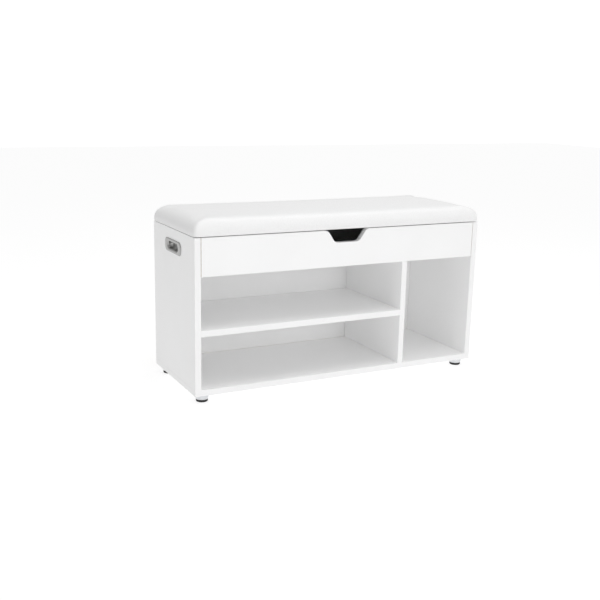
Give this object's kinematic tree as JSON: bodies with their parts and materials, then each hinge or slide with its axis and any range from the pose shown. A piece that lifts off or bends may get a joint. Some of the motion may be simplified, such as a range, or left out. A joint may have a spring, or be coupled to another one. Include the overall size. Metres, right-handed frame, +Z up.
{
  "type": "entryway storage bench",
  "caption": "Low entryway bench with a padded hinged seat over a storage compartment, open shoe bays, side handles and levelling feet.",
  "frame": {"origin": "on the floor under the middle of the bench's outer box", "axes": "+Z up, +X along the width towards the single tall bay, the open front faces -Y"},
  "size_m": [0.8, 0.3, 0.44],
  "materials": {
    "white_board": "white melamine-faced chipboard, satin",
    "hardboard": "white painted hardboard",
    "satin_nickel": "satin nickel-plated zinc",
    "chromed_cup": "bright chrome-plated steel",
    "black_foot": "moulded black plastic",
    "faux_leather": "white polyurethane-coated cloth, fine grain",
    "foam": "polyurethane foam",
    "raw_board": "bare chipboard",
    "lining": "black non-woven lining",
    "beech": "beech dowel",
    "clear_rubber": "translucent silicone",
    "zinc": "die-cast zinc",
    "nylon": "natural nylon",
    "zinc_plated": "bright zinc-plated steel"
  },
  "bodies": {
    "cabinet": {"back_panel": "hardboard", "back_rail": "white_board", "bottom_panel": "white_board", "bottom_screws": "zinc_plated", "cam_bolts": "zinc_plated", "cam_housings": "zinc", "compartment_floor": "white_board", "divider_panel": "white_board", "foot_inserts": "zinc_plated", "front_fascia": "white_board", "handle_pull_left": "satin_nickel", "handle_pull_right": "satin_nickel", "handle_screws": "zinc_plated", "handle_strap_left": "zinc_plated", "handle_strap_right": "zinc_plated", "hinge_left_cabinet_leaf": "zinc_plated", "hinge_pins": "zinc_plated", "hinge_right_cabinet_leaf": "zinc_plated", "hinge_screws_cabinet": "zinc_plated", "lid_bumpers": "clear_rubber", "middle_shelf": "white_board", "side_panel_left": "white_board", "side_panel_right": "white_board", "stay_spacers": "nylon", "stay_studs": "zinc_plated", "wood_dowels": "beech"},
    "lid": {"hinge_left_lid_leaf": "zinc_plated", "hinge_right_lid_leaf": "zinc_plated", "hinge_screws_lid": "zinc_plated", "seat_board": "raw_board", "seat_cover": "faux_leather", "seat_foam": "foam", "seat_liner": "lining", "seat_staples": "zinc_plated", "stay_bracket_left": "zinc_plated", "stay_bracket_right": "zinc_plated", "stay_rivets": "zinc_plated", "stay_screws": "zinc_plated"},
    "stay_left": {"stay_left": "zinc_plated"},
    "stay_right": {"stay_right": "zinc_plated"},
    "foot_front_left_base": {"foot_front_left_pad": "black_foot"},
    "foot_front_left_screw": {"foot_front_left_cup": "chromed_cup", "foot_front_left_stud": "zinc_plated"},
    "foot_front_right_base": {"foot_front_right_pad": "black_foot"},
    "foot_front_right_screw": {"foot_front_right_cup": "chromed_cup", "foot_front_right_stud": "zinc_plated"},
    "foot_back_left_base": {"foot_back_left_pad": "black_foot"},
    "foot_back_left_screw": {"foot_back_left_cup": "chromed_cup", "foot_back_left_stud": "zinc_plated"},
    "foot_back_right_base": {"foot_back_right_pad": "black_foot"},
    "foot_back_right_screw": {"foot_back_right_cup": "chromed_cup", "foot_back_right_stud": "zinc_plated"}
  },
  "joints": [
    {"name": "lid_hinge", "type": "hinge", "parent": "cabinet", "child": "lid", "pos_m": [0, 0.1477, 0.3985], "axis": [-1, 0, 0], "range_deg": [0, 85]},
    {"name": "stay_left_pivot", "type": "hinge", "parent": "lid", "child": "stay_left", "pos_m": [-0.378, 0.0877, 0.3865], "axis": [-1, 0, 0], "range_deg": [-112.6, 0]},
    {"name": "stay_right_pivot", "type": "hinge", "parent": "lid", "child": "stay_right", "pos_m": [0.378, 0.0877, 0.3865], "axis": [-1, 0, 0], "range_deg": [-112.6, 0]},
    {"name": "foot_front_left_lift", "type": "slide", "parent": "cabinet", "child": "foot_front_left_base", "axis": [0, 0, -1], "range_m": [0, 0.0076]},
    {"name": "foot_front_left_turn", "type": "hinge", "parent": "foot_front_left_base", "child": "foot_front_left_screw", "pos_m": [-0.372, -0.122, 0], "axis": [0, 0, -1], "range_deg": [0, 2160]},
    {"name": "foot_front_right_lift", "type": "slide", "parent": "cabinet", "child": "foot_front_right_base", "axis": [0, 0, -1], "range_m": [0, 0.0076]},
    {"name": "foot_front_right_turn", "type": "hinge", "parent": "foot_front_right_base", "child": "foot_front_right_screw", "pos_m": [0.372, -0.122, 0], "axis": [0, 0, -1], "range_deg": [0, 2160]},
    {"name": "foot_back_left_lift", "type": "slide", "parent": "cabinet", "child": "foot_back_left_base", "axis": [0, 0, -1], "range_m": [0, 0.0076]},
    {"name": "foot_back_left_turn", "type": "hinge", "parent": "foot_back_left_base", "child": "foot_back_left_screw", "pos_m": [-0.372, 0.117, 0], "axis": [0, 0, -1], "range_deg": [0, 2160]},
    {"name": "foot_back_right_lift", "type": "slide", "parent": "cabinet", "child": "foot_back_right_base", "axis": [0, 0, -1], "range_m": [0, 0.0076]},
    {"name": "foot_back_right_turn", "type": "hinge", "parent": "foot_back_right_base", "child": "foot_back_right_screw", "pos_m": [0.372, 0.117, 0], "axis": [0, 0, -1], "range_deg": [0, 2160]}
  ],
  "couplings": [
    {"joint": "stay_left_pivot", "follows": "lid_hinge", "ratio": -1.323},
    {"joint": "stay_right_pivot", "follows": "lid_hinge", "ratio": -1.323},
    {"joint": "foot_front_left_lift", "follows": "foot_front_left_turn", "m_per_rad": 0.00019894},
    {"joint": "foot_front_right_lift", "follows": "foot_front_right_turn", "m_per_rad": 0.00019894},
    {"joint": "foot_back_left_lift", "follows": "foot_back_left_turn", "m_per_rad": 0.00019894},
    {"joint": "foot_back_right_lift", "follows": "foot_back_right_turn", "m_per_rad": 0.00019894}
  ]
}
